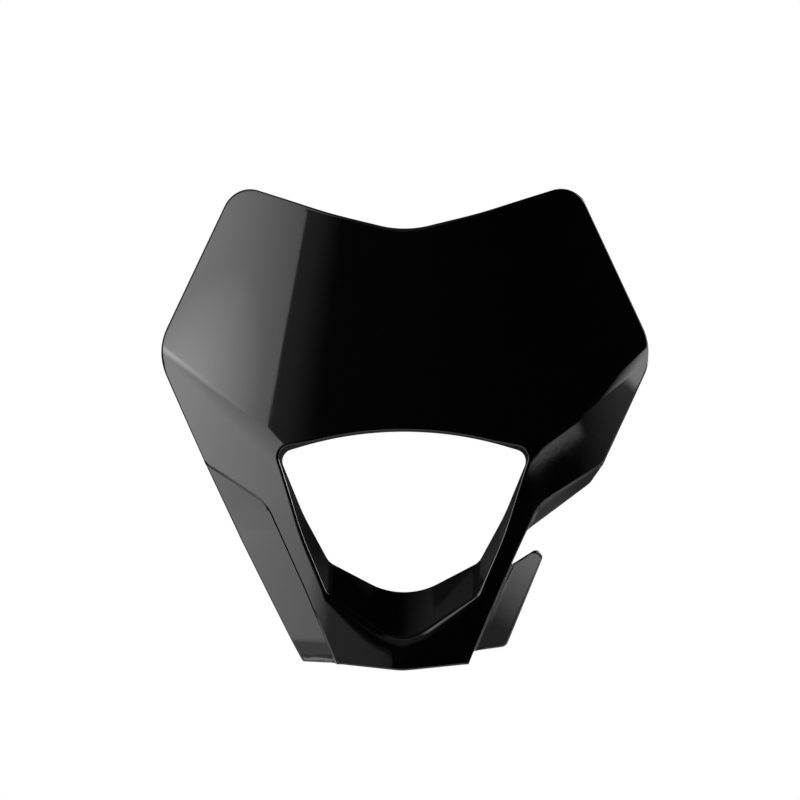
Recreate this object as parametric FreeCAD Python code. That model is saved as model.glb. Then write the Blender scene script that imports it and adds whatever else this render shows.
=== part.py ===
"""Motorbike headlight mask: one moulding of gloss plastic, in millimetres, +Z up.

The mask faces -Y. The origin lies on the seat plane of the headlight, midway between its two
screw bosses. X runs to the right of someone who looks at the front.
"""
import math
import os

import FreeCAD
import Part

Vector = FreeCAD.Vector

# Wall
WALL = 2.5
STEP_DEPTH = 2.2

# Plate: the front of a leaning cone
BROW_Y = -32.0
BROW_Z = 44.0
PLATE_LEAN = 20.0
CONE_APEX_Z = 472.0
CONE_HALF_ANGLE = 33.0

# Side panels: they fall back below a straight fold on each side
FOLD_OUTER_X = 146.7
FOLD_OUTER_Z = 90.9
FOLD_INNER_X = 75.7
FOLD_INNER_Z = 34.1
FOLD_FALL = 0.5
FOLD_RADIUS = 10.0
BEAK_RADIUS = 25.0

# Outline of the whole mask, seen from the front
TOP_DIP_Z = 163.2
TOP_DIP_RADIUS = 60.0
TOP_BEND_X = 45.2
TOP_BEND_Z = 174.8
TOP_BEND_RADIUS = 300.0
TOP_CORNER_X = 105.3
TOP_CORNER_Z = 195.9
TOP_CORNER_RADIUS = 17.0
WIDEST_X = 152.5
WIDEST_Z = 91.7
WIDEST_RADIUS = 34.0
LOWER_BEND_X = 97.3
LOWER_BEND_Z = -20.0
LOWER_BEND_RADIUS = 300.0
FOOT_X = 59.1
FOOT_Z = -90.6
FOOT_RADIUS = 1.5
BEAK_Z = -94.3
BEAK_TIP_RADIUS = 30.0

# Step line: the wings outside it sit one step behind the front
STEP_CORNER_X = 81.7
STEP_CORNER_Z = 0.1
STEP_CORNER_RADIUS = 25.0
STEP_TOP_X = 135.0
STEP_TOP_Z = 32.0
STEP_FOOT_X = 37.9
STEP_FOOT_Z = -93.0

# Window and tray, from the seat plane forwards
TRAY_DEPTH = 77.0
SEAT_BROW_Z = 52.4
SEAT_BROW_RADIUS = 214.0
SEAT_TOP_X = 74.9
SEAT_TOP_Z = 30.0
SEAT_TOP_RADIUS = 7.0
SEAT_SIDE_X = 59.9
SEAT_SIDE_Z = -6.5
SEAT_SIDE_RADIUS = 120.0
SEAT_LOW_X = 44.6
SEAT_LOW_Z = -34.6
SEAT_LOW_RADIUS = 10.0
SEAT_FOOT_Z = -57.9
SEAT_FOOT_RADIUS = 43.0
MOUTH_BROW_Z = 48.0
MOUTH_BROW_RADIUS = 300.0
MOUTH_TOP_X = 75.5
MOUTH_TOP_Z = 38.0
MOUTH_TOP_RADIUS = 6.0
MOUTH_SIDE_X = 60.5
MOUTH_SIDE_Z = -24.0
MOUTH_SIDE_RADIUS = 250.0
MOUTH_LOW_X = 42.6
MOUTH_LOW_Z = -70.5
MOUTH_LOW_RADIUS = 10.0
MOUTH_FOOT_Z = -91.8
MOUTH_FOOT_RADIUS = 40.0
RIM_ROUND = 1.5

# Notch in the right wing, with a fin left below it
NOTCH_TOP_X = 111.3
NOTCH_TOP_Z = 12.9
NOTCH_TOP_RADIUS = 15.0
NOTCH_TOP_RISE = 1.45
NOTCH_IN_X = 74.5
NOTCH_IN_Z = -13.2
NOTCH_TRIM = 1.6
FIN_ROOT_X = 65.3
FIN_ROOT_Z = -34.6
FIN_TIP_X = 85.7
FIN_TIP_Z = -22.6
FIN_TIP_RADIUS = 2.5
FIN_FOOT_X = 60.4
FIN_FOOT_Z = -82.6
FIN_FOOT_RADIUS = 4.0
FIN_END_X = 42.0
FIN_END_Z = -84.2

# Screw bosses behind the wings
BOSS_X = 84.0
BOSS_RADIUS = 5.0
SCREW_RADIUS = 2.0
SCREW_DEPTH = 9.0
GUSSET = 2.0
GUSSET_DROP = 4.0

# Strap pegs behind the plate
PEG_Z = 72.0
PEG_INNER_X = 62.0
PEG_OUTER_X = 122.0
PEG_RADIUS = 4.0
PEG_REACH = 14.0
PEG_HEAD_RADIUS = 7.0
PEG_HEAD = 3.0

# Space around the mask for the cutting solids
CORE_INSET = 10.0
EDGE_SAMPLES = (0.03, 0.5, 0.97)
NEAR = 0.01
MARGIN = 40.0
REACH_X = WIDEST_X + MARGIN
REACH_TOP = TOP_CORNER_Z + MARGIN
REACH_LOW = BEAK_Z - MARGIN
REACH_FRONT = -TRAY_DEPTH
REACH_BACK = TRAY_DEPTH + MARGIN


def mirrored(half):
    """Closed list of corners from the left half, which starts and ends on the middle line."""
    right = [(-x, z, radius) for x, z, radius in reversed(half) if x < 0]
    return half + right


def grown(corners, distance):
    """Corners of the same outline moved outwards; the corners run anticlockwise from the front."""
    moved = []
    for index, (x, z, radius) in enumerate(corners):
        before = corners[index - 1]
        after = corners[(index + 1) % len(corners)]
        first = Vector(x - before[0], 0, z - before[1]).normalize()
        second = Vector(after[0] - x, 0, after[1] - z).normalize()
        normal_1 = Vector(first.z, 0, -first.x)
        normal_2 = Vector(second.z, 0, -second.x)
        shift = (normal_1 + normal_2) * (distance / (1 + normal_1.dot(normal_2)))
        turns_out = first.x * second.z - first.z * second.x > 0
        new_radius = max(radius + (distance if turns_out else -distance), 0) if radius else 0
        moved.append((x + shift.x, z + shift.z, new_radius))
    return moved


def outline_wire(corners, y):
    """Closed wire at depth y through (x, z, radius) corners, each rounded by its radius."""
    runs = []
    for index, (x, z, radius) in enumerate(corners):
        corner = Vector(x, y, z)
        before = corners[index - 1]
        after = corners[(index + 1) % len(corners)]
        to_before = (Vector(before[0], y, before[1]) - corner).normalize()
        to_after = (Vector(after[0], y, after[1]) - corner).normalize()
        if not radius:
            runs.append((corner, None, corner))
            continue
        half = math.acos(to_before.dot(to_after)) / 2
        tangent = radius / math.tan(half)
        inward = (to_before + to_after).normalize()
        middle = corner + inward * (radius / math.sin(half) - radius)
        runs.append((corner + to_before * tangent, middle, corner + to_after * tangent))
    edges = []
    for index, (start, middle, end) in enumerate(runs):
        if middle:
            edges.append(Part.Arc(start, middle, end).toShape())
        edges.append(Part.makeLine(end, runs[(index + 1) % len(runs)][0]))
    return Part.Wire(edges)


def prism(corners, front=REACH_FRONT, back=REACH_BACK):
    """Solid along Y with the given outline."""
    return Part.Face(outline_wire(corners, front)).extrude(Vector(0, back - front, 0))


def plate_cone(inset):
    """Front half of a solid cone whose side is the plate, moved inwards by inset."""
    lean = math.radians(PLATE_LEAN)
    half = math.radians(CONE_HALF_ANGLE)
    rise = CONE_APEX_Z - BROW_Z
    axis = Vector(0, math.sin(half - lean), -math.cos(half - lean))
    apex = Vector(0, BROW_Y + rise * math.tan(lean), CONE_APEX_Z)
    apex += axis * (inset / math.sin(half))
    near = (CONE_APEX_Z - REACH_TOP) / 2
    far = (CONE_APEX_Z - REACH_LOW) / math.cos(half - lean) ** 2
    cone = Part.makeCone(near * math.tan(half), far * math.tan(half), far - near,
                         apex + axis * near, axis, 180)
    return cone.rotate(apex, axis, -90)


def fallen(cone, side):
    """The cone sheared back below the fold line of one side, -1 left or +1 right."""
    run = Vector(FOLD_OUTER_X - FOLD_INNER_X, 0, FOLD_OUTER_Z - FOLD_INNER_Z).normalize()
    down_x = side * run.z
    down_z = -run.x
    shear = FreeCAD.Matrix()
    shear.A21 = FOLD_FALL * down_x
    shear.A23 = FOLD_FALL * down_z
    shear.A24 = -FOLD_FALL * (down_x * side * FOLD_OUTER_X + down_z * FOLD_OUTER_Z)
    return cone.transformGeometry(shear)


def on_fold(edge):
    """Whether an edge is one of the creases between the plate and the side panels."""
    middle = edge.valueAt((edge.FirstParameter + edge.LastParameter) / 2)
    slope = (FOLD_OUTER_Z - FOLD_INNER_Z) / (FOLD_OUTER_X - FOLD_INNER_X)
    return abs(middle.z - FOLD_INNER_Z - slope * (abs(middle.x) - FOLD_INNER_X)) < 0.01


def blank(inset, core):
    """Solid behind the three skin surfaces, moved inwards by inset, with rounded creases."""
    cone = plate_cone(inset)
    room = Part.makeBox(2 * REACH_X, REACH_BACK - 2 * REACH_FRONT, REACH_TOP - REACH_LOW,
                        Vector(-REACH_X, 2 * REACH_FRONT, REACH_LOW))
    body = cone.common(room).common(fallen(cone, -1)).common(fallen(cone, 1)).cut(core)
    folds = [edge for edge in body.Edges if on_fold(edge)]
    body = body.makeFillet(FOLD_RADIUS - inset, folds)
    beak = [edge for edge in body.Edges
            if max(abs(vertex.X) for vertex in edge.Vertexes) < 0.01]
    return body.makeFillet(BEAK_RADIUS - inset, beak)


def edges_in(shape, surface, back):
    """Edges of the shape that lie in another shape's surface, ahead of a depth."""
    found = []
    for edge in shape.Edges:
        span = edge.LastParameter - edge.FirstParameter
        points = [edge.valueAt(edge.FirstParameter + span * share) for share in EDGE_SAMPLES]
        if max(point.y for point in points) > back:
            continue
        if max(surface.distToShape(Part.Vertex(point))[0] for point in points) < NEAR:
            found.append(edge)
    return found


def plate_depth(x, z):
    """Depth of the plate's front at a place seen from the front."""
    lean = math.radians(PLATE_LEAN)
    half = math.radians(CONE_HALF_ANGLE)
    along_y = math.sin(half - lean)
    along_z = -math.cos(half - lean)
    spread = math.cos(half) ** 2
    drop = z - CONE_APEX_Z
    square = along_y ** 2 - spread
    linear = along_y * along_z * drop
    rest = (along_z * drop) ** 2 - spread * (x ** 2 + drop ** 2)
    root = math.sqrt(linear ** 2 - square * rest)
    apex_y = BROW_Y + (CONE_APEX_Z - BROW_Z) * math.tan(lean)
    return apex_y + (-linear + root) / square


def strap_peg(x):
    """Peg that stands out behind the plate, with a flat head to hold a strap."""
    end = plate_depth(x, PEG_Z) + WALL + PEG_REACH
    back = Vector(0, 1, 0)
    stem = Part.makeCylinder(PEG_RADIUS, end + TRAY_DEPTH, Vector(x, -TRAY_DEPTH, PEG_Z), back)
    head = Part.makeCylinder(PEG_HEAD_RADIUS, PEG_HEAD, Vector(x, end - PEG_HEAD, PEG_Z), back)
    return stem.fuse(head)


outline = mirrored([
    (0, TOP_DIP_Z, TOP_DIP_RADIUS),
    (-TOP_BEND_X, TOP_BEND_Z, TOP_BEND_RADIUS),
    (-TOP_CORNER_X, TOP_CORNER_Z, TOP_CORNER_RADIUS),
    (-WIDEST_X, WIDEST_Z, WIDEST_RADIUS),
    (-LOWER_BEND_X, LOWER_BEND_Z, LOWER_BEND_RADIUS),
    (-FOOT_X, FOOT_Z, FOOT_RADIUS),
    (0, BEAK_Z, BEAK_TIP_RADIUS),
])
seat = mirrored([
    (0, SEAT_BROW_Z, SEAT_BROW_RADIUS),
    (-SEAT_TOP_X, SEAT_TOP_Z, SEAT_TOP_RADIUS),
    (-SEAT_SIDE_X, SEAT_SIDE_Z, SEAT_SIDE_RADIUS),
    (-SEAT_LOW_X, SEAT_LOW_Z, SEAT_LOW_RADIUS),
    (0, SEAT_FOOT_Z, SEAT_FOOT_RADIUS),
])
mouth = mirrored([
    (0, MOUTH_BROW_Z, MOUTH_BROW_RADIUS),
    (-MOUTH_TOP_X, MOUTH_TOP_Z, MOUTH_TOP_RADIUS),
    (-MOUTH_SIDE_X, MOUTH_SIDE_Z, MOUTH_SIDE_RADIUS),
    (-MOUTH_LOW_X, MOUTH_LOW_Z, MOUTH_LOW_RADIUS),
    (0, MOUTH_FOOT_Z, MOUTH_FOOT_RADIUS),
])
step_run = (STEP_TOP_X - STEP_CORNER_X, STEP_TOP_Z - STEP_CORNER_Z)
step_far = (REACH_X - STEP_CORNER_X) / step_run[0]
foot_run = (STEP_FOOT_X - STEP_CORNER_X, STEP_FOOT_Z - STEP_CORNER_Z)
foot_far = (REACH_LOW - STEP_CORNER_Z) / foot_run[1]
front_zone = mirrored([
    (0, REACH_TOP, 0),
    (-REACH_X, REACH_TOP, 0),
    (-REACH_X, STEP_CORNER_Z + step_far * step_run[1], 0),
    (-STEP_CORNER_X, STEP_CORNER_Z, STEP_CORNER_RADIUS),
    (-(STEP_CORNER_X + foot_far * foot_run[0]), REACH_LOW, 0),
    (0, REACH_LOW, 0),
])

notch_slope = (NOTCH_TOP_Z - NOTCH_IN_Z) / (NOTCH_TOP_X - NOTCH_IN_X)
fin_slope = (FIN_TIP_Z - FIN_ROOT_Z) / (FIN_TIP_X - FIN_ROOT_X)
foot_slope = (FIN_FOOT_Z - FIN_END_Z) / (FIN_FOOT_X - FIN_END_X)
notch_outline = [
    (0, NOTCH_IN_Z - notch_slope * NOTCH_IN_X, 0),
    (0, FIN_ROOT_Z - fin_slope * FIN_ROOT_X, 0),
    (FIN_TIP_X, FIN_TIP_Z, FIN_TIP_RADIUS),
    (FIN_FOOT_X, FIN_FOOT_Z, FIN_FOOT_RADIUS),
    (0, FIN_END_Z - foot_slope * FIN_END_X, 0),
    (0, REACH_LOW, 0),
    (REACH_X, REACH_LOW, 0),
    (REACH_X, NOTCH_TOP_Z + NOTCH_TOP_RISE * (REACH_X - NOTCH_TOP_X), 0),
    (NOTCH_TOP_X, NOTCH_TOP_Z, NOTCH_TOP_RADIUS),
]

# Cutting solids
core = prism(grown(seat, -CORE_INSET), 2 * REACH_FRONT)
zone = prism(front_zone)
tray_inside = Part.makeLoft([outline_wire(mouth, -TRAY_DEPTH), outline_wire(seat, 0)], True, True)
tray_outside = Part.makeLoft([outline_wire(grown(mouth, WALL), -TRAY_DEPTH),
                              outline_wire(grown(seat, WALL), 0)], True, True)
notch = prism(notch_outline).cut(prism(grown(front_zone, -NOTCH_TRIM)))

# Outside: front and wings with the step between them, then the outline, the window and the notch
block = blank(0, core).common(zone).fuse(blank(STEP_DEPTH, core))
block = block.common(prism(outline, back=TRAY_DEPTH)).cut(tray_inside)
block = block.makeFillet(RIM_ROUND, edges_in(block, tray_inside.Shells[0], BROW_Y / 2))
block = block.cut(notch)

# Inside: everything behind the wall, apart from the tray, the bosses and the pegs
void = blank(WALL, core).common(prism(grown(front_zone, -WALL)))
void = void.fuse(blank(WALL + STEP_DEPTH, core)).cut(tray_outside)
for side in (-1, 1):
    boss = Part.makeCylinder(BOSS_RADIUS, TRAY_DEPTH, Vector(side * BOSS_X, -TRAY_DEPTH, 0),
                             Vector(0, 1, 0))
    gusset = Part.makeBox(BOSS_X, TRAY_DEPTH - GUSSET_DROP, GUSSET,
                          Vector(min(side * BOSS_X, 0), -TRAY_DEPTH, -GUSSET / 2))
    void = void.cut(boss).cut(gusset)
    void = void.cut(strap_peg(side * PEG_INNER_X)).cut(strap_peg(side * PEG_OUTER_X))
mask = block.cut(void)
for side in (-1, 1):
    mask = mask.cut(Part.makeCylinder(SCREW_RADIUS, SCREW_DEPTH,
                                      Vector(side * BOSS_X, -SCREW_DEPTH, 0), Vector(0, 1, 0)))

os.makedirs("parts", exist_ok=True)
mask.exportStep("parts/headlight_mask.step")
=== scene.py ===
"""Look of a motorbike headlight mask: one moulding of gloss black plastic.

Sizes are in millimetres, as the maker would give them, and become metres in the meshes. The mask
faces -Y and +Z is up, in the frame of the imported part.
"""
import math

import bmesh
import bpy
from mathutils import Matrix, Vector


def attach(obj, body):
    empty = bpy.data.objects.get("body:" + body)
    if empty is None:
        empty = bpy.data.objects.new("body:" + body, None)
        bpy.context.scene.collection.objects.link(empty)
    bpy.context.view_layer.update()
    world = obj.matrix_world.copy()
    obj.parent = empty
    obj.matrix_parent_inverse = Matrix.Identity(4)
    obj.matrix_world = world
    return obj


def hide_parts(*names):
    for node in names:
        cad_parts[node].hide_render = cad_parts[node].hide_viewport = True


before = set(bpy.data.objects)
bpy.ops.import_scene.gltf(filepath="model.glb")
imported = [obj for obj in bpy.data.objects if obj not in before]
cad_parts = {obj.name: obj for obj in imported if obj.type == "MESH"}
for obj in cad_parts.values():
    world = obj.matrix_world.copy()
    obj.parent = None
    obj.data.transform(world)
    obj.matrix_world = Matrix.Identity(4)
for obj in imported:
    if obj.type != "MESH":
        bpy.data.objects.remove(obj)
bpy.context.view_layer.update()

MM = 0.001

# Wall and the step in it
WALL = 2.5
STEP_DEPTH = 2.2

# Plate: the front of a leaning cone
BROW_Y = -32.0
BROW_Z = 44.0
PLATE_LEAN = math.radians(20.0)
CONE_APEX_Z = 472.0
CONE_HALF_ANGLE = math.radians(33.0)

# Side panels: they fall back below a straight fold on each side
FOLD_OUTER = Vector((146.7, 90.9))
FOLD_INNER = Vector((75.7, 34.1))
FOLD_FALL = 0.5
FOLD_RADIUS = 10.0
FOLD_REACH_OUTER = 3.5
FOLD_REACH_INNER = 7.0
BEAK_RADIUS = 25.0
BEAK_REACH = 7.0

# Half outlines seen from the front, from the top middle round to the bottom: x, z and corner radius
OUTLINE = [
    (0.0, 163.2, 60.0),
    (45.2, 174.8, 300.0),
    (105.3, 195.9, 17.0),
    (152.5, 91.7, 34.0),
    (97.3, -20.0, 300.0),
    (59.1, -91.95, 1.5),
    (36.0, -91.75, 40.0),
    (0.0, -94.29, 30.0),
]
FOOT_CORNER = 5
SEAT = [
    (0.0, 52.4, 214.0),
    (74.9, 30.0, 7.0),
    (59.9, -6.5, 120.0),
    (44.6, -34.6, 10.0),
    (0.0, -57.9, 43.0),
]
MOUTH = [
    (0.0, 48.0, 300.0),
    (75.5, 38.0, 6.0),
    (60.5, -24.0, 250.0),
    (42.6, -69.0, 10.0),
    (0.0, -92.5, 25.0),
]
TRAY_DEPTH = 77.0
CHIN_CORNER = 3

# Step line, from beyond the side to beyond the bottom: x, z and corner radius
STEP_LINE = [
    (244.2, 97.4, 0.0),
    (189.6, 64.7, 0.0),
    (81.7, 0.1, 25.0),
    (58.1, -50.1, 80.0),
    (-17.3, -225.4, 0.0),
    (-39.9, -278.0, 0.0),
]
STEP_CORNER = 2

# Slanted wall below the step line, how far inside it, and the tilt of each wing beyond it
STEP_TOP_IN = 1.6
STEP_FOOT_IN = 1.2
STEP_BACK_TOP = 2.8
STEP_BACK_FOOT = 1.8
STEP_START = 0.12
WING_TILT = 0.1
BAND_TILT = 0.05
FIN_TILT = 0.16
FOOT_ROUND = 15.0
FOOT_FALL = 0.55

# Notch and fin of the right wing
NOTCH_LINE = [(39.2, -38.2, 0.0), (111.3, 12.9, 15.0), (151.3, 70.9, 0.0)]
NOTCH_BEND = 1
FIN_LINE = [(44.9, -45.37, 0.0), (86.4, -20.95, 4.0), (60.4, -82.6, 4.0), (23.6, -85.8, 0.0)]
FIN_TIP = 1
FIN_FOOT = 2

# Rounded edges: the rim's rounding grows from RIM_ROUND to CHIN_ROUND past the chin's corners
CHIN_ROUND = 8.0
RIM_ROUND = 2.1
RIM_LEAD = 4.0
RIM_GROWTH = 26.0
OUTLINE_ROUND = 1.9
FIN_ROUND = 1.5
SIDE_ROUND = 1.1
NOTCH_ROUND = 0.4
STEP_ROUND = 0.8
STEP_FOOT_ROUND = 0.6
BACK_ROUND = 0.4
ROUND_SEGMENTS = 5

# Mesh: columns run round the window and rows run outwards
BROW_COLUMNS = 110
FOLD_COLUMNS = 20
SIDE_COLUMNS = 36
BAND_COLUMNS = 34
GAP_COLUMNS = 16
FIN_EDGE_COLUMNS = (14, 10, 22, 6, 8)
FIN_COLUMNS = sum(FIN_EDGE_COLUMNS)
END_COLUMNS = 8
CHIN_COLUMNS = 26
FOOT_COLUMNS = 15
FOOT_CORNER_COLUMNS = 4
STEP_COLUMNS = BAND_COLUMNS + GAP_COLUMNS + FIN_COLUMNS + END_COLUMNS
FOOT_FIRST = STEP_COLUMNS - FOOT_COLUMNS
PLATE_LAST = BROW_COLUMNS + FOLD_COLUMNS
STEP_FIRST = PLATE_LAST + SIDE_COLUMNS
STEP_LAST = STEP_FIRST + STEP_COLUMNS
FRONT_ROWS = 40
TRAY_ROWS = 9
WING_ROWS = 12
SIDE_RIM_SHARE = 0.15
ARC_STEPS = 24
LINE_STEPS = 24
HALVINGS = 40

# Hems: narrow rows along the edges, which leave room for the roundings
HEM = 2.4
FOLD_HEM = 6.0
RIM_HEM_SHARE = 1.1
HEM_LIMIT_SHARE = 0.3

# Points this near in metres are one point, and edges this short are none
MERGE = 2e-6
SLIVER = 1e-7

# Screw bosses and strap pegs behind the wall
BOSS_X = 84.0
BOSS_RADIUS = 5.0
SCREW_RADIUS = 2.0
SCREW_DEPTH = 9.0
GUSSET = 2.0
GUSSET_DROP = 4.0
PEG_Z = 72.0
PEG_X = (62.0, 122.0)
PEG_RADIUS = 4.0
PEG_REACH = 14.0
PEG_HEAD_RADIUS = 7.0
PEG_HEAD = 3.0
TURN_STEPS = 48

# Gloss black plastic: a noise has its scale, detail and roughness, and the bump is in metres
BLACK = (0.002, 0.002, 0.0022, 1.0)
GLOSS_IOR = 1.5
WAVES = (14.0, 1.0, 0.5)
WAVE_SHARE = 40.0
ORANGE_PEEL = (420.0, 2.0, 0.5)
CLOUDS = (60.0, 4.0, 0.6)
CLOUD_ROUGHNESS = (0.3, 0.7, 0.03, 0.06)
BUMP_STRENGTH = 0.12
BUMP_HEIGHT = 0.00003

# Camera: its place in metres, its turn in degrees, and its lens in millimetres
CAMERA_PLACE = (0.02947, -1.68875, 0.062)
CAMERA_TURN = 1.08
CAMERA_LENS = 127.5
CAMERA_SENSOR = 36.0

# Studio, in metres: a fade is given by its start and end, and the strength at each
WHITE = (1.0, 1.0, 1.0, 1.0)
BACKGROUND = (0.72, 0.8, 0.0, 1.0)
AMBIENT = 0.3
FLOOR_COLOUR = (0.85, 0.85, 0.85, 1.0)
FLOOR_Z = -0.34
FLOOR_RADIUS = 0.85
FLOOR_FADE = (0.3, FLOOR_RADIUS, 0.6, 1.0)
FLOOR_CORNERS = 96
FLAG_WIDTH = 0.24
FLAG_HEIGHT = 0.155
FLAG_Y = 0.09
FLAG_Z = -0.0325
FLAG_MIDDLE = (-0.015, 0.01)
FLAG_LEFT = (-0.005, 0.015, 0.014, 0.028)
FLAG_RIGHT = (-0.02, 0.01, 0.055, 0.015)
PANEL_AIM = Vector((0.0, -0.02, 0.07))
PANEL_DISTANCE = 1.5

# Softbox on the left: a spot is given by its middle, reach and strength, and a slant by its direction
SOFTBOX_SPOT = ((-0.38, -0.25), 2.5, 3.9)
RIDGE_MIDDLE = (-0.36, 0.22, 0.0)
RIDGE_TURN = (0.0, 0.0, 0.331)
RIDGE_SIZE = (0.95, 0.23, 1.0)
RIDGE_SPOT = ((0.0, 0.0), 1.0, 4.2)
SOFTBOX_SLANT = (0.8636, 0.504)
SOFTBOX_EDGE = (0.845, 0.86, 1.0, 0.0)
SOFTBOX_SHADE_SLANT = (1.0, -0.2)
SOFTBOX_SHADE = (0.70, 0.88, 1.0, 0.06)
SOFTBOX_FAR = (-0.75, -0.68, 0.0, 1.0)
SOFTBOX_FOOT = (-1.7, -1.0, 0.1, 1.0)
SOFTBOX_LOW = (-0.62, -0.8, 1.0, 0.86)
SOFTBOX_HIGH = (0.55, 0.9, 1.0, 0.65)
PLATE_GLOW = (0.85, 1.45, 0.27, 0.0)
PLATE_GLOW_FOOT = (-0.2, 0.2, 0.0, 1.0)
CHIN_GLOW = (1.0, 1.75, 0.27, 0.04)
CHIN_GLOW_TOP = (-0.6, 0.12, 1.0, 0.0)

# Small lights on the right: a strip, the haze below it, a narrow wedge, a low light and a glint
STRIP_SIDE = (0.05, 0.36, 0.0, 3.2)
STRIP_FOOT = (-0.355, -0.335, 0.0, 1.0)
STRIP_SLANT = (-0.8, 1.0)
STRIP_TOP = (-0.04, 0.04, 1.0, 0.0)
HAZE_SIDE = (-0.12, 0.3, 0.0, 0.42)
HAZE_TOP = (-0.36, -0.34, 1.0, 0.0)
HAZE_FOOT = (-0.75, -0.6, 0.0, 1.0)
WEDGE_SIDE = (-0.46, -0.39, 0.0, 1.0)
WEDGE_TOP_SLANT = (0.265, 1.0)
WEDGE_TOP = (-0.5, -0.475, 1.0, 0.0)
WEDGE_FOOT_SLANT = (-0.29, 1.0)
WEDGE_FOOT = (-0.475, -0.462, 0.0, 1.25)
LOW_BRIGHT = (-0.86, -0.79, 2.05, 0.0)
LOW_DIM = (-0.79, -0.72, 0.75, 0.42)
LOW_SLANT = (1.0, -0.5)
LOW_SIDE = (-0.12, -0.02, 0.0, 1.0)
LOW_TOP = (-0.67, -0.63, 1.0, 0.0)
LOW_FOOT = (-1.0, -0.86, 0.12, 1.0)
GLINT_SPOT = ((1.3, -1.28), 0.35, 5.0)

# Lights behind, overhead and below
BACK_SIDE = (-0.4, 0.1, 0.0, 0.08)
TOP_SIDE = (0.05, 0.5, 2.0, 0.3)
TOP_FAR = (-0.19, 0.05, 1.0, 0.1)
CEILING_LEFT = (-0.45, 0.0, 0.0, 1.0)
CEILING_RIGHT = (0.0, 0.3, 1.0, 0.0)
CEILING_NEAR = (-0.55, -0.1, 0.0, 0.18)
RIM_LIGHT = (0.4, 0.5, 8.0, 0.0)
FOOT_CARD = (0.03, 0.04, 3.0, 0.6)
FOOT_CARD_AIM = Vector((-0.048, -0.032, -0.089))
FOOT_CARD_DISTANCE = 0.25


def neighbours(corners, index):
    """Corners before and after one; at its ends a half outline goes on mirrored."""
    before = corners[index - 1] if index else (-corners[1][0], corners[1][1])
    ends = index + 1 == len(corners)
    after = (-corners[-2][0], corners[-2][1]) if ends else corners[index + 1]
    return Vector(before[:2]), Vector(after[:2])


def moved_out(corners, distance):
    """Corners of the same outline moved outwards."""
    moved = []
    for index, (x, z, radius) in enumerate(corners):
        before, after = neighbours(corners, index)
        first = (Vector((x, z)) - before).normalized()
        second = (after - Vector((x, z))).normalized()
        normal_1 = Vector((-first.y, first.x))
        normal_2 = Vector((-second.y, second.x))
        shift = (normal_1 + normal_2) * (distance / (1 + normal_1.dot(normal_2)))
        bulges = first.cross(second) < 0
        grown = radius + (distance if bulges else -distance)
        moved.append((x + shift.x, z + shift.y, grown if radius else 0.0))
    return moved


def corner_arc(corners, index):
    """Points round one corner; the corners at the middle line give only half their arc."""
    x, z, radius = corners[index]
    corner = Vector((x, z))
    if not radius:
        return [corner]
    before, after = neighbours(corners, index)
    to_before = (before - corner).normalized()
    to_after = (after - corner).normalized()
    half = to_before.angle(to_after) / 2
    centre = corner + (to_before + to_after).normalized() * (radius / math.sin(half))
    start = corner + to_before * (radius / math.tan(half)) - centre
    end = corner + to_after * (radius / math.tan(half)) - centre
    sweep = start.angle(end)
    low = 0.5 if index == 0 else 0.0
    high = 0.5 if index == len(corners) - 1 else 1.0
    points = []
    for step in range(ARC_STEPS + 1):
        share = low + (high - low) * step / ARC_STEPS
        turned = start * math.sin((1 - share) * sweep) + end * math.sin(share * sweep)
        points.append(centre + turned / math.sin(sweep))
    return points


def rounded(corners):
    """Points along a half outline, with the same number of points for each corner and side."""
    points = []
    for index in range(len(corners)):
        arc = corner_arc(corners, index)
        if points:
            last = points[-1]
            points += [last.lerp(arc[0], step / LINE_STEPS) for step in range(1, LINE_STEPS)]
        points += arc
    return points


def crossings(path, other):
    """Places where one path crosses another, in order along the first."""
    found = []
    for start, end in zip(path, path[1:]):
        here = []
        for low, high in zip(other, other[1:]):
            run = end - start
            side = high - low
            spread = run.cross(side)
            if not spread:
                continue
            share = (low - start).cross(side) / spread
            across = (low - start).cross(run) / spread
            if 0 <= share < 1 and 0 <= across < 1:
                here.append(share)
        found += [start.lerp(end, share) for share in sorted(here)]
    return found


def nearest(path, point):
    """Index of the stretch of a path that passes nearest a point."""
    gaps = []
    for start, end in zip(path, path[1:]):
        run = end - start
        share = (point - start).dot(run) / max(run.length_squared, 1e-12)
        gaps.append((start.lerp(end, min(max(share, 0), 1)) - point).length)
    return gaps.index(min(gaps))


def stretch(path, start, end):
    """Part of a path between two of its points."""
    first = nearest(path, start)
    last = nearest(path, end)
    return [start] + path[first + 1:last + 1] + [end]


def spaced(path, count):
    """Points evenly spaced along a path."""
    runs = [(end - start).length for start, end in zip(path, path[1:])]
    total = sum(runs)
    points = [path[0]]
    index = 0
    passed = 0.0
    for step in range(1, count):
        wanted = total * step / count
        while passed + runs[index] < wanted:
            passed += runs[index]
            index += 1
        points.append(path[index].lerp(path[index + 1], (wanted - passed) / runs[index]))
    return points + [path[-1]]


def joined(*parts):
    """Paths that follow one another, with their shared ends once."""
    points = list(parts[0])
    for part in parts[1:]:
        points += part[1:]
    return points


def below_fold(x, z):
    """Distance of a place below the fold line of the right side, seen from the front."""
    run = (FOLD_OUTER - FOLD_INNER).normalized()
    return (x - FOLD_OUTER.x) * run.y - (z - FOLD_OUTER.y) * run.x


def fold_half_width(x, z):
    """Half width of the rounded fold, which grows towards the window."""
    run = FOLD_INNER - FOLD_OUTER
    share = (Vector((abs(x), z)) - FOLD_OUTER).dot(run) / run.length_squared
    share = min(max(share, 0.0), 1.0)
    return FOLD_REACH_OUTER + (FOLD_REACH_INNER - FOLD_REACH_OUTER) * share


def eased_max(low, high, reach):
    """The larger of two depths, with the crease between them rounded."""
    gap = high - low
    if gap <= -reach:
        return low
    if gap >= reach:
        return high
    return low + (gap + reach) ** 2 / (4 * reach)


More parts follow.
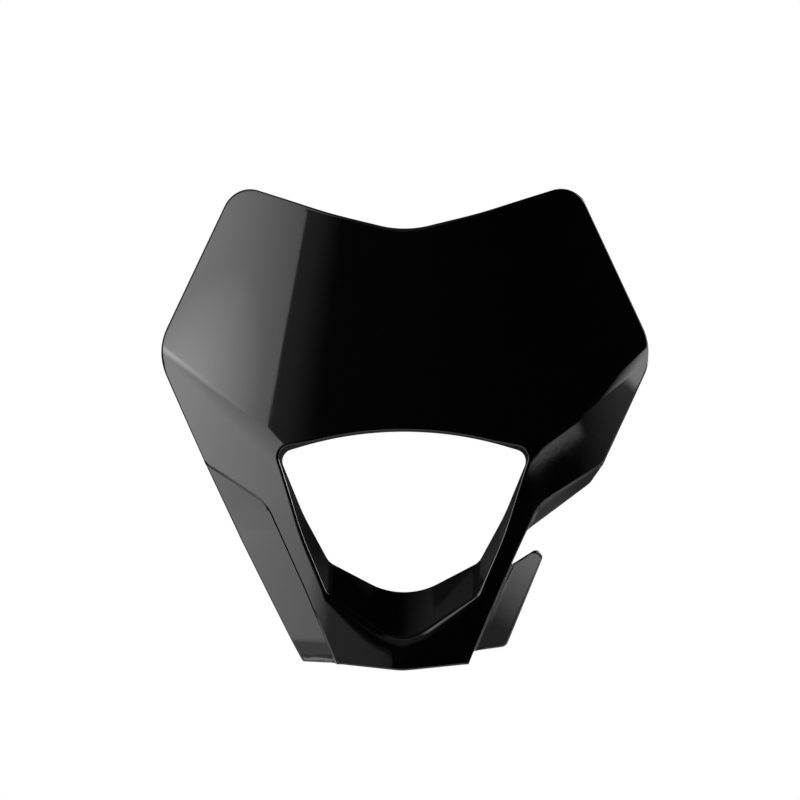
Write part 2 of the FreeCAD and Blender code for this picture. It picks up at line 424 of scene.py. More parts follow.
def plate_depth(x, z, inset):
    """Depth of the plate's surface at a place seen from the front, moved inwards by inset."""
    along_y = math.sin(CONE_HALF_ANGLE - PLATE_LEAN)
    along_z = -math.cos(CONE_HALF_ANGLE - PLATE_LEAN)
    slide = inset / math.sin(CONE_HALF_ANGLE)
    apex_y = BROW_Y + (CONE_APEX_Z - BROW_Z) * math.tan(PLATE_LEAN) + along_y * slide
    drop = z - CONE_APEX_Z - along_z * slide
    spread = math.cos(CONE_HALF_ANGLE) ** 2
    square = along_y ** 2 - spread
    linear = along_y * along_z * drop
    rest = (along_z * drop) ** 2 - spread * (x ** 2 + drop ** 2)
    return apex_y + (math.sqrt(linear ** 2 - square * rest) - linear) / square


def skin_depth(x, z, inset):
    """Depth of the mask's surface, with rounded folds and beak, moved inwards by inset."""
    slope = FOLD_FALL * (FOLD_OUTER - FOLD_INNER).normalized().y
    beak_reach = 2 * slope * BEAK_REACH * (1 - inset / BEAK_RADIUS)
    fold_reach = FOLD_FALL * fold_half_width(x, z) * (1 - inset / FOLD_RADIUS)
    fall_right = FOLD_FALL * below_fold(x, z)
    fall_left = FOLD_FALL * below_fold(-x, z)
    fall = eased_max(0.0, eased_max(fall_left, fall_right, beak_reach), fold_reach)
    return plate_depth(x, z, inset) + fall


def on_skin(place, inset):
    """Point of the surface at a place seen from the front."""
    return Vector((place.x, skin_depth(place.x, place.y, inset), place.y))


def on_loop(loop, place):
    """Point of a loop at a fractional index."""
    index = min(int(place), len(loop) - 2)
    return loop[index].lerp(loop[index + 1], place - index)


def in_tray(loops, place, share):
    """Point of the tray's wall, from the seat at share 0 to its mouth at share 1."""
    flat = on_loop(loops[0], place).lerp(on_loop(loops[1], place), share)
    return Vector((flat.x, -TRAY_DEPTH * share, flat.y))


def rim_share(loops, place, inset):
    """How far along its depth the tray's wall meets the surface."""
    low = 0.0
    high = 1.0
    for _ in range(HALVINGS):
        middle = (low + high) / 2
        point = in_tray(loops, place, middle)
        if point.y > skin_depth(point.x, point.z, inset):
            low = middle
        else:
            high = middle
    return low


def turned_places(places, lengths, start, end, count):
    """Places evenly spaced along the rim between two of its lengths."""
    found = []
    index = 0
    for step in range(count + 1):
        wanted = start + (end - start) * step / count
        while index < len(lengths) - 2 and lengths[index + 1] < wanted:
            index += 1
        share = (wanted - lengths[index]) / (lengths[index + 1] - lengths[index])
        found.append(places[index] + share * (places[index + 1] - places[index]))
    return found


def lengths_along(points):
    """Length passed at each point of a path."""
    lengths = [0.0]
    for start, end in zip(points, points[1:]):
        lengths.append(lengths[-1] + (end - start).length)
    return lengths


def length_where(points, lengths, reached):
    """Length along the rim at which it first lies that far below the fold."""
    falls = [below_fold(point.x, point.z) for point in points]
    for index in range(len(points) - 1):
        if falls[index] < reached <= falls[index + 1]:
            share = (reached - falls[index]) / (falls[index + 1] - falls[index])
            return lengths[index] + share * (lengths[index + 1] - lengths[index])
    return lengths[-1]


def fold_point(path, reached):
    """Place on the outline at a distance below the fold."""
    for start, end in zip(path, path[1:]):
        low = below_fold(start.x, start.y)
        high = below_fold(end.x, end.y)
        if low < reached <= high:
            return start.lerp(end, (reached - low) / (high - low))
    return path[-1]


def row_share(row, rows, length, first, last):
    """Share of the way across a sheet for a row, with a narrow hem at each edge."""
    if row in (0, rows):
        return row / rows
    low = min(first / max(length, first), HEM_LIMIT_SHARE)
    high = 1 - min(last / max(length, last), HEM_LIMIT_SHARE)
    return low + (high - low) * (row - 1) / (rows - 2)


# Paths seen from the front
outline_path = rounded(OUTLINE)
notch_path = rounded(NOTCH_LINE)
fin_path = rounded(FIN_LINE)
tray_inside = (rounded(SEAT), rounded(MOUTH))
tray_outside = (rounded(moved_out(SEAT, WALL)), rounded(moved_out(MOUTH, WALL)))


def step_keys(inside):
    """Step line moved inside by a distance, with its ends and where the notch and fin meet it."""
    path = rounded(moved_out(STEP_LINE, -inside))
    side, bottom = crossings(path, outline_path)
    notch_in = crossings(path, notch_path)[-1]
    fin_top, fin_end = crossings(fin_path, path)
    return path, (side, notch_in, fin_top, fin_end, bottom)


def step_path(inside):
    """Columns along the step line, moved inside by a distance."""
    path, keys = step_keys(inside)
    counts = (BAND_COLUMNS, GAP_COLUMNS, FIN_COLUMNS, END_COLUMNS)
    parts = []
    for start, end, count in zip(keys, keys[1:], counts):
        parts.append(spaced(stretch(path, start, end), count))
    return joined(*parts)


def front_path(inside):
    """Columns along the front's outer edge: outline, step line and bottom."""
    _, (side, *_, bottom) = step_keys(inside)
    above = fold_point(outline_path, -FOLD_HEM)
    below = fold_point(outline_path, FOLD_HEM)
    return joined(
        spaced(stretch(outline_path, outline_path[0], above), BROW_COLUMNS),
        spaced(stretch(outline_path, above, below), FOLD_COLUMNS),
        spaced(stretch(outline_path, below, side), SIDE_COLUMNS),
        step_path(inside),
        spaced(stretch(outline_path, bottom, outline_path[-1]), CHIN_COLUMNS),
    )


def left_wing_path(inside):
    """Columns along the left wing's outer edge, for its inner edge moved by a distance."""
    _, (side, *_, bottom) = step_keys(inside)
    foot = corner_arc(OUTLINE, FOOT_CORNER)
    return joined(
        spaced(stretch(outline_path, side, foot[0]), FOOT_FIRST),
        spaced(foot, FOOT_CORNER_COLUMNS),
        spaced(stretch(outline_path, foot[-1], bottom), FOOT_COLUMNS - FOOT_CORNER_COLUMNS),
    )


def band_path(inside):
    """Columns along the lower edge of the band above the notch."""
    _, (side, notch_in, *_) = step_keys(inside)
    inwards = list(reversed(notch_path))
    bend = corner_arc(NOTCH_LINE, NOTCH_BEND)[ARC_STEPS // 2]
    return spaced([side] + stretch(inwards, bend, notch_in), BAND_COLUMNS)


def fin_edge_path(inside):
    """Columns along the fin's free edge, from its top round the tip to its lower end."""
    _, (_, _, fin_top, fin_end, _) = step_keys(inside)
    tip = corner_arc(FIN_LINE, FIN_TIP)
    foot = corner_arc(FIN_LINE, FIN_FOOT)
    runs = ([fin_top, tip[0]], tip, [tip[-1], foot[0]], foot, [foot[-1], fin_end])
    return joined(*[spaced(run, count) for run, count in zip(runs, FIN_EDGE_COLUMNS)])


# Columns round the window
all_places = [float(index) for index in range(len(tray_inside[0]))]
rim_points = [in_tray(tray_inside, place, rim_share(tray_inside, place, 0.0)) for place in all_places]
rim_lengths = lengths_along(rim_points)
chin_index = CHIN_CORNER * (ARC_STEPS + LINE_STEPS) + ARC_STEPS // 2
fold_start = length_where(rim_points, rim_lengths, -FOLD_HEM)
fold_end = length_where(rim_points, rim_lengths, FOLD_HEM)
chin_start = rim_lengths[chin_index]
turn_start = fold_end + SIDE_RIM_SHARE * (chin_start - fold_end)
columns = joined(
    turned_places(all_places, rim_lengths, 0.0, fold_start, BROW_COLUMNS),
    turned_places(all_places, rim_lengths, fold_start, fold_end, FOLD_COLUMNS),
    turned_places(all_places, rim_lengths, fold_end, turn_start, SIDE_COLUMNS),
    turned_places(all_places, rim_lengths, turn_start, chin_start, STEP_COLUMNS),
    turned_places(all_places, rim_lengths, chin_start, rim_lengths[-1], CHIN_COLUMNS),
)
rim_shares = [rim_share(tray_inside, place, 0.0) for place in columns]
column_points = [in_tray(tray_inside, place, share) for place, share in zip(columns, rim_shares)]
column_lengths = lengths_along(column_points)
back_shares = [rim_share(tray_outside, place, WALL) for place in columns]

# Marks of the edges to round
RIM = 1
EDGE = 2
STEP_TOP = 4
STEP_FOOT = 8
SEAT_EDGE = 16
SIDE_EDGE = 32
NOTCH_EDGE = 64
FIN_EDGE = 128
FREE_EDGES = EDGE | SIDE_EDGE | NOTCH_EDGE | FIN_EDGE
EDGE_ROUNDS = (
    (RIM, CHIN_ROUND),
    (EDGE, OUTLINE_ROUND),
    (SIDE_EDGE, SIDE_ROUND),
    (NOTCH_EDGE, NOTCH_ROUND),
    (FIN_EDGE, FIN_ROUND),
    (STEP_TOP, STEP_ROUND),
    (STEP_FOOT, STEP_FOOT_ROUND),
    (SEAT_EDGE, BACK_ROUND),
)


def rim_round(column):
    """Rounding of the rim, which grows wider along the chin."""
    passed = column_lengths[column] - column_lengths[STEP_LAST] + RIM_LEAD
    share = min(max(passed / RIM_GROWTH, 0.0), 1.0)
    return RIM_ROUND + (CHIN_ROUND - RIM_ROUND) * share


def rim_outwards(column):
    """Direction square to the rim and away from the window, seen from the front."""
    before = column_points[max(column - 1, 0)]
    after = column_points[min(column + 1, len(column_points) - 1)]
    outwards = Vector((before.z - after.z, after.x - before.x))
    if column in (0, len(column_points) - 1):
        outwards.x = 0.0
    return outwards.normalized()


def front_sheet(side):
    """Places for the front between the rim and its outer edge."""
    edge = front_path(STEP_TOP_IN)
    back_edge = front_path(STEP_BACK_TOP)

    def place(column, row):
        rim = in_tray(tray_inside, columns[column], rim_shares[column])
        back_rim = in_tray(tray_outside, columns[column], back_shares[column])
        flat = Vector((rim.x, rim.z))
        if row:
            flat += rim_outwards(column) * RIM_HEM_SHARE * rim_round(column)
            share = row_share(row - 1, FRONT_ROWS - 1, (edge[column] - flat).length, HEM, HEM)
            flat = flat.lerp(edge[column], share)
        front = on_skin(flat, 0.0)
        share = row / FRONT_ROWS
        back_start = Vector((back_rim.x, back_rim.z))
        back = on_skin(back_start.lerp(back_edge[column], share), WALL)
        mark = RIM if row == 0 else 0
        if row == FRONT_ROWS:
            mark = STEP_TOP if STEP_FIRST <= column <= STEP_LAST else 0
            mark |= EDGE if column <= PLATE_LAST else 0
            mark |= SIDE_EDGE if PLATE_LAST <= column <= STEP_FIRST or column >= STEP_LAST else 0
            if side > 0 and BAND_COLUMNS <= column - STEP_FIRST <= BAND_COLUMNS + GAP_COLUMNS:
                mark |= SIDE_EDGE
        room = HEM * rim_round(column) / CHIN_ROUND if row == 0 else HEM
        return front, back, mark, room

    return len(columns) - 1, FRONT_ROWS, place


def tray_sheet():
    """Places for the tray's wall between its seat and the rim."""

    def place(column, row):
        hem = RIM_HEM_SHARE * rim_round(column)
        share = row_share(row, TRAY_ROWS, TRAY_DEPTH * rim_shares[column], HEM, hem)
        front = in_tray(tray_inside, columns[column], share * rim_shares[column])
        back = in_tray(tray_outside, columns[column], share * back_shares[column])
        mark = (SEAT_EDGE if row == 0 else 0) | (RIM if row == TRAY_ROWS else 0)
        room = HEM * rim_round(column) / CHIN_ROUND if row == TRAY_ROWS else HEM
        return front, back, mark, room

    return len(columns) - 1, TRAY_ROWS, place


def step_depth(column):
    """Depth of the step at one of its columns; from the outline it grows along the band."""
    share = min(column / BAND_COLUMNS, 1.0)
    return STEP_DEPTH * (STEP_START + (1 - STEP_START) * share)


def foot_sink(place):
    """How far the rounded lower end of the left wing lies behind its plane."""
    foot = Vector(OUTLINE[FOOT_CORNER][:2])
    beak = Vector(OUTLINE[-1][:2])
    height = place.y - beak.y - (foot.y - beak.y) * place.x / foot.x
    return FOOT_FALL * max(FOOT_ROUND - height, 0.0) ** 2 / (2 * FOOT_ROUND)


def beyond_step(x, z):
    """Distance of a place outside both legs of the step line's corner, less than zero inside."""
    corner = Vector(STEP_LINE[STEP_CORNER][:2])
    place = Vector((abs(x), z)) - corner
    upper = (Vector(STEP_LINE[STEP_CORNER - 1][:2]) - corner).normalized()
    lower = (Vector(STEP_LINE[STEP_CORNER + 1][:2]) - corner).normalized()
    return min(place.cross(upper), lower.cross(place))


def wing_sink(place, across, tilt, edge_mark):
    """How far a tilted wing lies behind its plane, at a place and its distance from the step."""
    if edge_mark == FIN_EDGE:
        return tilt * max(beyond_step(*place), 0.0)
    sink = tilt * across
    return sink + foot_sink(place) if edge_mark == SIDE_EDGE else sink


def step_wall(first, last, widths, tilt, edge_mark):
    """Places for the slanted wall below part of the step line."""
    top = step_path(STEP_TOP_IN)[first:last + 1]
    foot = step_path(STEP_FOOT_IN)[first:last + 1]
    back_top = step_path(STEP_BACK_TOP)[first:last + 1]
    back_foot = step_path(STEP_BACK_FOOT)[first:last + 1]

    def place(column, row):
        if row == 0:
            return on_skin(top[column], 0.0), on_skin(back_top[column], WALL), STEP_TOP, HEM
        depth = step_depth(first + column)
        sink = Vector((0.0, wing_sink(foot[column], 0.0, tilt, edge_mark), 0.0))
        front = on_skin(foot[column], depth) + sink
        back = on_skin(back_foot[column], depth + WALL) + sink
        return front, back, STEP_FOOT, widths[column]

    return last - first, 1, place


def wing_sheet(first, last, edge, back_edge, widths, tilt, edge_mark):
    """Places for a recessed wing between the foot of the step and its free edge."""
    foot = step_path(STEP_FOOT_IN)[first:last + 1]
    back_foot = step_path(STEP_BACK_FOOT)[first:last + 1]

    def place(column, row):
        share = row_share(row, WING_ROWS, widths[column], HEM, HEM)
        depth = step_depth(first + column)
        flat = foot[column].lerp(edge[column], share)
        flat_back = back_foot[column].lerp(back_edge[column], share)
        sink = Vector((0.0, wing_sink(flat, share * widths[column], tilt, edge_mark), 0.0))
        front = on_skin(flat, depth) + sink
        back = on_skin(flat_back, depth + WALL) + sink
        mark = STEP_FOOT if row == 0 else 0
        if row == WING_ROWS:
            mark |= edge_mark
            mark |= EDGE if edge_mark == SIDE_EDGE and column >= FOOT_FIRST else 0
        return front, back, mark, widths[column]

    return last - first, WING_ROWS, place


def lay(bm, sheet, side):
    """Adds a grid whose columns and rows take the places of a sheet, on one side of the mask."""
    across, rows, place = sheet
    back_of = bm.verts.layers.float_vector["back"]
    marks = bm.verts.layers.int["marks"]
    room = bm.verts.layers.float["room"]
    made = bmesh.ops.create_grid(bm, x_segments=across, y_segments=rows, size=1.0)
    for vertex in made["verts"]:
        column = round((vertex.co.x + 1) / 2 * across)
        row = round((vertex.co.y + 1) / 2 * rows)
        front, back, mark, width = place(column, row)
        vertex.co = Vector((front.x * side, front.y, front.z)) * MM
        vertex[back_of] = Vector((back.x * side, back.y, back.z)) * MM
        vertex[marks] = mark
        vertex[room] = width


def widths_between(inner, outer):
    """Distance between two paths, column by column."""
    return [(end - start).length for start, end in zip(inner, outer)]


def lay_wing(bm, first, last, edge_path, side, tilt, edge_mark):
    """Adds a wing and the step wall that joins it to the front."""
    edge = edge_path(STEP_FOOT_IN)
    widths = widths_between(step_path(STEP_FOOT_IN)[first:last + 1], edge)
    lay(bm, step_wall(first, last, widths, tilt, edge_mark), side)
    back_edge = edge_path(STEP_BACK_FOOT)
    lay(bm, wing_sheet(first, last, edge, back_edge, widths, tilt, edge_mark), side)


def round_edges(bm, back_verts):
    """Gives each marked edge the share of the widest rounding that it takes."""
    weight = bm.edges.layers.float.new("bevel_weight_edge")
    marks = bm.verts.layers.int["marks"]
    room = bm.verts.layers.float["room"]
    for edge in bm.edges:
        start, end = edge.verts
        shared = start[marks] & end[marks]
        if not shared or not edge.is_manifold:
            continue
        behind = start in back_verts, end in back_verts
        if behind[0] != behind[1]:
            continue
        width = max(size for mark, size in EDGE_ROUNDS if shared & mark)
        if behind[0]:
            width = BACK_ROUND if shared & (FREE_EDGES | SEAT_EDGE) else 0.0
        free = min(start[room], end[room]) / HEM
        edge[weight] = width / CHIN_ROUND * min(free, 1.0)


def mask_shell(bm):
    """Closed wall of the mask: its front sheets, and the same sheets again at the back."""
    bm.verts.layers.float_vector.new("back")
    bm.verts.layers.int.new("marks")
    bm.verts.layers.float.new("room")
    for side in (-1, 1):
        lay(bm, front_sheet(side), side)
        lay(bm, tray_sheet(), side)
    lay_wing(bm, 0, STEP_COLUMNS, left_wing_path, -1, WING_TILT, SIDE_EDGE)
    lay_wing(bm, 0, BAND_COLUMNS, band_path, 1, BAND_TILT, NOTCH_EDGE)
    fin_first = BAND_COLUMNS + GAP_COLUMNS
    lay_wing(bm, fin_first, fin_first + FIN_COLUMNS, fin_edge_path, 1, FIN_TILT, FIN_EDGE)
    bmesh.ops.remove_doubles(bm, verts=bm.verts[:], dist=MERGE)
    bmesh.ops.dissolve_degenerate(bm, dist=SLIVER, edges=bm.edges[:])
    bmesh.ops.recalc_face_normals(bm, faces=bm.faces[:])
    back_of = bm.verts.layers.float_vector["back"]
    whole = bm.verts[:] + bm.edges[:] + bm.faces[:]
    made = bmesh.ops.extrude_face_region(bm, geom=whole, use_keep_orig=True)
    back_verts = {item for item in made["geom"] if isinstance(item, bmesh.types.BMVert)}
    for vertex in back_verts:
        vertex.co = vertex[back_of]
    bmesh.ops.recalc_face_normals(bm, faces=bm.faces[:])
    round_edges(bm, back_verts)


def wall_middle(x, z):
    """Depth of the middle of the wall, on the front or on a wing."""
    outside = beyond_step(x, z)
    if outside < 0:
        return skin_depth(x, z, WALL / 2)
    return skin_depth(x, z, STEP_DEPTH + WALL / 2) + WING_TILT * outside


def turned(bm, profile, x, z):
    """Solid of revolution about an axis along Y, from (radius, y) corners, rooted in the wall."""
    axis = Vector((x, 0, z)) * MM
    verts = [bm.verts.new(axis + Vector((radius, y, 0)) * MM) for radius, y in profile]
    edges = [bm.edges.new(pair) for pair in zip(verts, verts[1:])]
    root = profile[0][1] * MM
    bmesh.ops.spin(bm, geom=verts + edges, cent=axis, axis=(0, 1, 0), angle=math.tau,
                   steps=TURN_STEPS, use_merge=True)
    for vertex in bm.verts:
        if abs(vertex.co.y - root) < MERGE:
            vertex.co.y = wall_middle(vertex.co.x / MM, vertex.co.z / MM) * MM


def strap_peg(bm, x):
    """Peg behind the plate with a flat head that holds a strap."""
    end = plate_depth(x, PEG_Z, 0.0) + WALL + PEG_REACH
    edge = BACK_ROUND
    turned(bm, [
        (0, -TRAY_DEPTH),
        (PEG_RADIUS, -TRAY_DEPTH),
        (PEG_RADIUS, end - PEG_HEAD - edge),
        (PEG_RADIUS + edge, end - PEG_HEAD),
        (PEG_HEAD_RADIUS - edge, end - PEG_HEAD),
        (PEG_HEAD_RADIUS, end - PEG_HEAD + edge),
        (PEG_HEAD_RADIUS, end - edge),
        (PEG_HEAD_RADIUS - edge, end),
        (0, end),
    ], x, PEG_Z)


def screw_boss(bm, x):
    """Boss with a blind screw hole behind a wing."""
    edge = BACK_ROUND
    turned(bm, [
        (0, -TRAY_DEPTH),
        (BOSS_RADIUS, -TRAY_DEPTH),
        (BOSS_RADIUS, -edge),
        (BOSS_RADIUS - edge, 0),
        (SCREW_RADIUS + edge, 0),
        (SCREW_RADIUS, -edge),
        (SCREW_RADIUS, -SCREW_DEPTH),
        (0, -SCREW_DEPTH),
    ], x, 0)


def gusset(bm, side):
    """Thin web between a boss and the tray's wall."""
    made = bmesh.ops.create_cube(bm, size=1.0)
    inner = max(point.x for point in tray_outside[0] if abs(point.y) < 2 * WALL) - WALL / 2
    outer = BOSS_X - SCREW_RADIUS - WALL / 2
    for vertex in made["verts"]:
        x = outer if vertex.co.x > 0 else inner
        y = -GUSSET_DROP if vertex.co.y > 0 else wall_middle(x, 0)
        vertex.co = Vector((side * x, y, GUSSET * vertex.co.z)) * MM


def fittings():
    """Bosses, webs and pegs behind the wall, each a closed shape rooted in it."""
    bm = bmesh.new()
    for side in (-1, 1):
        screw_boss(bm, side * BOSS_X)
        for peg_x in PEG_X:
            strap_peg(bm, side * peg_x)
    for side in (-1, 1):
        gusset(bm, side)
    bmesh.ops.remove_doubles(bm, verts=bm.verts[:], dist=MERGE)
    bmesh.ops.recalc_face_normals(bm, faces=bm.faces[:])
    mesh = bpy.data.meshes.new("fittings")
    bm.to_mesh(mesh)
    bm.free()
    return mesh


def mask_piece():
    """The whole moulding as one object."""
    bm = bmesh.new()
    mask_shell(bm)
    extra = fittings()
    bm.from_mesh(extra)
    bpy.data.meshes.remove(extra)
    mesh = bpy.data.meshes.new("mask")
    bm.to_mesh(mesh)
    bm.free()
    mesh.shade_smooth()
    piece = bpy.data.objects.new("mask", mesh)
    bpy.context.scene.collection.objects.link(piece)
    bevel = piece.modifiers.new("rounded edges", "BEVEL")
    bevel.limit_method = "WEIGHT"
    bevel.width = CHIN_ROUND * MM
    bevel.segments = ROUND_SEGMENTS
    bevel.profile = 0.5
    bevel.use_clamp_overlap = False
    normals = piece.modifiers.new("even shading", "WEIGHTED_NORMAL")
    normals.weight = 50
    return piece


class Nodes:
    """Short way to add nodes to one tree and link them."""

    def __init__(self, tree):
        self.tree = tree
        tree.nodes.clear()

    def put(self, socket, value):
        """Links a socket to an output, or sets its value."""
        if isinstance(value, bpy.types.NodeSocket):
            self.tree.links.new(value, socket)
        else:
            socket.default_value = value

    def node(self, kind, *values, out=0, **settings):
        """Adds a node with its inputs given in order, and returns one of its outputs."""
        made = self.tree.nodes.new(kind)
        for name, value in settings.items():
            setattr(made, name, value)
        for socket, value in zip(made.inputs, values):
            if value is not None:
                self.put(socket, value)
        return made.outputs[out] if made.outputs else None

    def named(self, kind, inputs):
        """Adds a node with its inputs given by name, and returns its first output."""
        made = self.tree.nodes.new(kind)
        for name, value in inputs.items():
            self.put(made.inputs[name], value)
        return made.outputs[0]

    def place(self):
        """Place in the object's own coordinates."""
        return self.node("ShaderNodeTexCoord", out="Object")

    def ray(self, kind):
        """Whether the ray is of a kind, such as Camera or Glossy."""
        return self.node("ShaderNodeLightPath", out=f"Is {kind} Ray")

    def math(self, operation, first, *others):
        """One operation over two or more values in turn."""
        for other in others:
            first = self.node("ShaderNodeMath", first, other, operation=operation)
        return first

    def ramp(self, value, low, high, at_low, at_high, kind="LINEAR"):
        """Fade between two values, level before and after them."""
        return self.node("ShaderNodeMapRange", value, low, high, at_low, at_high,
                         interpolation_type=kind)

    def dot(self, place, across, up):
        """Distance along a direction on a light's face."""
        return self.node("ShaderNodeVectorMath", place, (across, up, 0.0), out="Value",
                         operation="DOT_PRODUCT")

    def reach(self, place):
        """Distance from the middle."""
        return self.node("ShaderNodeVectorMath", place, out="Value", operation="LENGTH")

    def spot(self, place, centre, reach, strength):
        """Round light that fades from its centre."""
        gap = self.node("ShaderNodeVectorMath", place, (*centre, 0.0), out="Value",
                        operation="DISTANCE")
        return self.ramp(gap, 0.0, reach, strength, 0.0)

    def noise(self, place, scale, detail, roughness):
        """Noise that varies with the place."""
        return self.node("ShaderNodeTexNoise", place, None, scale, detail, roughness)


def new_finish(piece, name):
    """Nodes of a new material that a piece takes."""
    material = bpy.data.materials.new(name)
    material.use_nodes = True
    piece.data.materials.append(material)
    return Nodes(material.node_tree)


def gloss_black_plastic(piece):
    """Polished black moulding: faint waves and orange peel, and a gloss that varies a little."""
    make = new_finish(piece, "gloss_black_plastic")
    place = make.place()
    waves = make.math("MULTIPLY", make.noise(place, *WAVES), WAVE_SHARE)
    bump = make.named("ShaderNodeBump", {
        "Strength": BUMP_STRENGTH,
        "Distance": BUMP_HEIGHT,
        "Height": make.math("ADD", waves, make.noise(place, *ORANGE_PEEL)),
    })
    shader = make.named("ShaderNodeBsdfPrincipled", {
        "Base Color": BLACK,
        "Roughness": make.ramp(make.noise(place, *CLOUDS), *CLOUD_ROUGHNESS),
        "IOR": GLOSS_IOR,
        "Normal": bump,
    })
    make.node("ShaderNodeOutputMaterial", shader)


def stage_piece(name, bm):
    """Object of the stage, made from a bmesh."""
    mesh = bpy.data.meshes.new(name)
    bm.to_mesh(mesh)
    bm.free()
    piece = bpy.data.objects.new(name, mesh)
    bpy.context.scene.collection.objects.link(piece)
    return piece


def facing(azimuth, elevation):
    """Direction from the mask: azimuth 0 towards the camera and 90 to the right, in degrees."""
    turn = math.radians(azimuth)
    lift = math.radians(elevation)
    return Vector((math.sin(turn) * math.cos(lift), -math.cos(turn) * math.cos(lift),
                   math.sin(lift)))


def studio_panel(name, strength, azimuth, elevation, size, aim=PANEL_AIM, distance=PANEL_DISTANCE):
    """Soft light that faces the mask; its strength is given by the place on its face."""
    bm = bmesh.new()
    bmesh.ops.create_grid(bm, x_segments=1, y_segments=1, size=size)
    panel = stage_piece(name, bm)
    normal = facing(azimuth, elevation)
    across = Vector((0, 0, 1)).cross(normal).normalized()
    up = normal.cross(across)
    turn = Matrix((across, up, normal)).transposed().to_4x4()
    panel.matrix_world = Matrix.Translation(aim + normal * distance) @ turn
    panel.visible_camera = False
    panel.visible_shadow = False
    make = new_finish(panel, name)
    light = make.node("ShaderNodeEmission", WHITE, strength(make, make.place()))
    make.node("ShaderNodeOutputMaterial", light)
    return panel


def left_strength(make, place):
    """Big softbox on the left: bright along a slanted ridge, with a clean edge to the camera."""
    across = make.dot(place, 1.0, 0.0)
    up = make.dot(place, 0.0, 1.0)
    slant = make.dot(place, *SOFTBOX_SLANT)
    ridge = make.node("ShaderNodeMapping", place, RIDGE_MIDDLE, RIDGE_TURN, RIDGE_SIZE,
                      vector_type="TEXTURE")
    bright = make.math("ADD", make.spot(place, *SOFTBOX_SPOT), make.spot(ridge, *RIDGE_SPOT))
    near = make.math("MULTIPLY",
                     make.ramp(slant, *SOFTBOX_EDGE),
                     make.ramp(make.dot(place, *SOFTBOX_SHADE_SLANT), *SOFTBOX_SHADE))
    far = make.math("MULTIPLY", make.ramp(across, *SOFTBOX_FAR), make.ramp(up, *SOFTBOX_FOOT))
    dim = make.math("MULTIPLY", make.ramp(up, *SOFTBOX_LOW), make.ramp(up, *SOFTBOX_HIGH))
    plate_glow = make.math("MULTIPLY",
                           make.ramp(slant, *PLATE_GLOW, "SMOOTHSTEP"),
                           make.ramp(up, *PLATE_GLOW_FOOT))
    chin_glow = make.math("MULTIPLY",
                          make.ramp(across, *CHIN_GLOW), make.ramp(up, *CHIN_GLOW_TOP), far)
    return make.math("ADD", make.math("MULTIPLY", bright, near, far, dim), plate_glow, chin_glow)


def right_strength(make, place):
    """Small lights on the right, among them a strip at the side and a low one."""
    across = make.dot(place, 1.0, 0.0)
    up = make.dot(place, 0.0, 1.0)
    strip = make.math("MULTIPLY",
                      make.ramp(across, *STRIP_SIDE),
                      make.ramp(up, *STRIP_FOOT),
                      make.ramp(make.dot(place, *STRIP_SLANT), *STRIP_TOP))
    haze = make.math("MULTIPLY",
                     make.ramp(across, *HAZE_SIDE),
                     make.ramp(up, *HAZE_TOP),
                     make.ramp(up, *HAZE_FOOT))
    wedge = make.math("MULTIPLY",
                      make.ramp(across, *WEDGE_SIDE),
                      make.ramp(make.dot(place, *WEDGE_TOP_SLANT), *WEDGE_TOP),
                      make.ramp(make.dot(place, *WEDGE_FOOT_SLANT), *WEDGE_FOOT))
    low = make.math("MULTIPLY",
                    make.math("ADD", make.ramp(up, *LOW_BRIGHT), make.ramp(up, *LOW_DIM)),
                    make.ramp(make.dot(place, *LOW_SLANT), *LOW_SIDE),
                    make.ramp(up, *LOW_TOP),
                    make.ramp(up, *LOW_FOOT))
    return make.math("ADD", strip, haze, wedge, low, make.spot(place, *GLINT_SPOT))


def back_strength(make, place):
    """Dim overhead light behind on the left, which the floor of the tray shows."""
    return make.ramp(make.dot(place, 1.0, 0.0), *BACK_SIDE)


def top_strength(make, place):
    """Overhead light on the left, which the rounded chin shows."""
    return make.math("MULTIPLY",
                     make.ramp(make.dot(place, 1.0, 0.0), *TOP_SIDE),
                     make.ramp(make.dot(place, 0.0, 1.0), *TOP_FAR))


def ceiling_strength(make, place):
    """Soft dim light overhead, which the middle of the chin shows."""
    across = make.dot(place, 1.0, 0.0)
    return make.math("MULTIPLY",
                     make.ramp(across, *CEILING_LEFT),
                     make.ramp(across, *CEILING_RIGHT),
                     make.ramp(make.dot(place, 0.0, 1.0), *CEILING_NEAR))


def rim_strength(make, place):
    """Plain light behind on the right, which the edges show as thin lines."""
    return make.ramp(make.reach(place), *RIM_LIGHT, "SMOOTHSTEP")


def foot_strength(make, place):
    """Small card below on the left, which the rounded foot of the wing shows."""
    return make.ramp(make.reach(place), *FOOT_CARD, "SMOOTHSTEP")


def window_flag():
    """Dark card close behind the window that keeps the white background out of the tray."""
    bm = bmesh.new()
    bmesh.ops.create_grid(bm, x_segments=1, y_segments=1, size=0.5)
    for vertex in bm.verts:
        vertex.co = Vector((vertex.co.x * FLAG_WIDTH, FLAG_Y, vertex.co.y * FLAG_HEIGHT + FLAG_Z))
    flag = stage_piece("window_flag", bm)
    flag.visible_camera = False
    flag.visible_shadow = False
    flag.visible_diffuse = False
    make = new_finish(flag, "dark_card")
    place = make.place()
    height = make.node("ShaderNodeSeparateXYZ", place, out="Z")
    left_side = make.ramp(height, *FLAG_LEFT)
    right_side = make.ramp(height, *FLAG_RIGHT)
    dim = make.ramp(make.dot(place, 1.0, 0.0), *FLAG_MIDDLE, left_side, right_side)
    make.node("ShaderNodeOutputMaterial", make.node("ShaderNodeEmission", WHITE, dim))


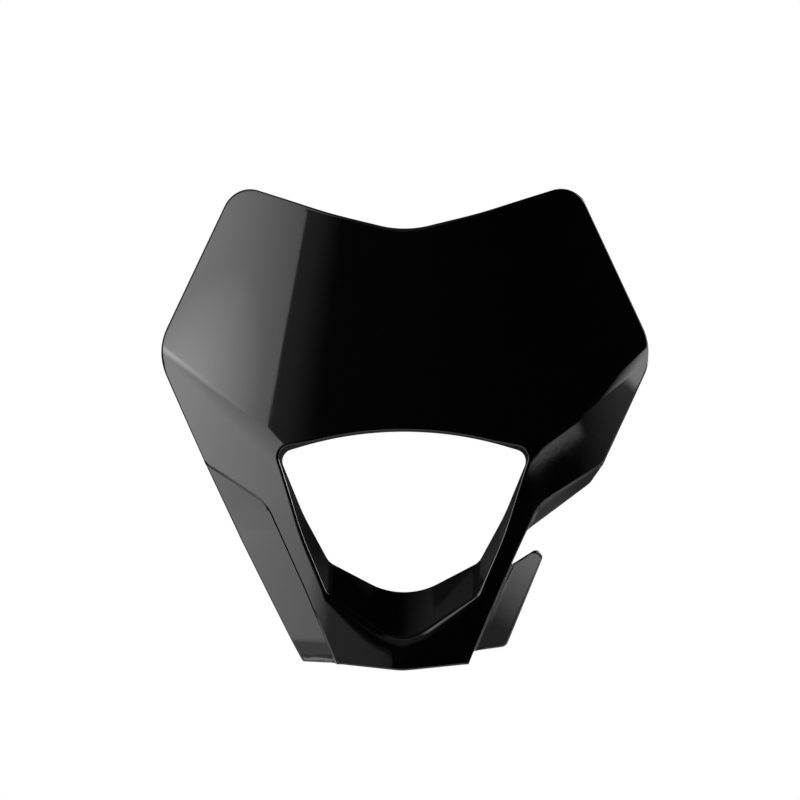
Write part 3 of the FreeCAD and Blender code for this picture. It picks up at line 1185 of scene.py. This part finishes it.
def floor():
    """Pale round floor below the mask that fades to the white background and keeps the shadow."""
    bm = bmesh.new()
    bmesh.ops.create_circle(bm, cap_ends=True, segments=FLOOR_CORNERS, radius=FLOOR_RADIUS)
    for vertex in bm.verts:
        vertex.co.z = FLOOR_Z
    make = new_finish(stage_piece("floor", bm), "pale_floor")
    flat = make.node("ShaderNodeVectorMath", make.place(), (1, 1, 0), operation="MULTIPLY")
    fade = make.ramp(make.reach(flat), *FLOOR_FADE, "SMOOTHSTEP")
    seen = make.math("MAXIMUM", make.ray("Camera"), make.ray("Glossy"), make.ray("Transmission"))
    pale = make.node("ShaderNodeBsdfDiffuse", FLOOR_COLOUR)
    white = make.node("ShaderNodeEmission", WHITE, 1.0)
    mix = make.node("ShaderNodeMixShader", make.math("MULTIPLY", seen, fade), pale, white)
    make.node("ShaderNodeOutputMaterial", mix)


def white_world():
    """White background for the camera, and for reflections where they look at it."""
    world = bpy.data.worlds.new("studio")
    bpy.context.scene.world = world
    world.use_nodes = True
    make = Nodes(world.node_tree)
    direction = make.node("ShaderNodeTexCoord", out="Generated")
    behind = make.ramp(make.dot(direction, 0.0, 1.0), *BACKGROUND, "SMOOTHSTEP")
    seen = make.math("MAXIMUM", make.ray("Camera"), make.ray("Transmission"),
                     make.math("MULTIPLY", make.ray("Glossy"), behind))
    fill = make.math("MULTIPLY", make.ray("Diffuse"), AMBIENT)
    light = make.node("ShaderNodeBackground", WHITE, make.math("ADD", seen, fill))
    make.node("ShaderNodeOutputWorld", light)


def photo_camera():
    """Level camera in front of the mask, about one degree to the right."""
    camera = bpy.data.cameras.new("camera")
    camera.lens = CAMERA_LENS
    camera.sensor_width = CAMERA_SENSOR
    holder = bpy.data.objects.new("camera", camera)
    holder.location = CAMERA_PLACE
    holder.rotation_euler = (math.radians(90), 0, math.radians(CAMERA_TURN))
    bpy.context.scene.collection.objects.link(holder)
    bpy.context.scene.camera = holder


mask = mask_piece()
gloss_black_plastic(mask)
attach(mask, "root")
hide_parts("headlight_mask")

photo_camera()
white_world()
floor()
window_flag()
studio_panel("left_softbox", left_strength, azimuth=-73, elevation=18, size=1.6)
studio_panel("right_lights", right_strength, azimuth=77, elevation=18, size=1.6)
studio_panel("back_light", back_strength, azimuth=-157, elevation=58, size=0.7)
studio_panel("top_light", top_strength, azimuth=-75, elevation=76, size=0.65)
studio_panel("ceiling_glow", ceiling_strength, azimuth=0, elevation=66, size=0.6)
studio_panel("rim_light", rim_strength, azimuth=132, elevation=14, size=0.5)
foot_card = studio_panel("foot_card", foot_strength, azimuth=-80, elevation=-48, size=0.05,
                         aim=FOOT_CARD_AIM, distance=FOOT_CARD_DISTANCE)
foot_card.visible_diffuse = False
bpy.context.scene.view_settings.view_transform = "Standard"
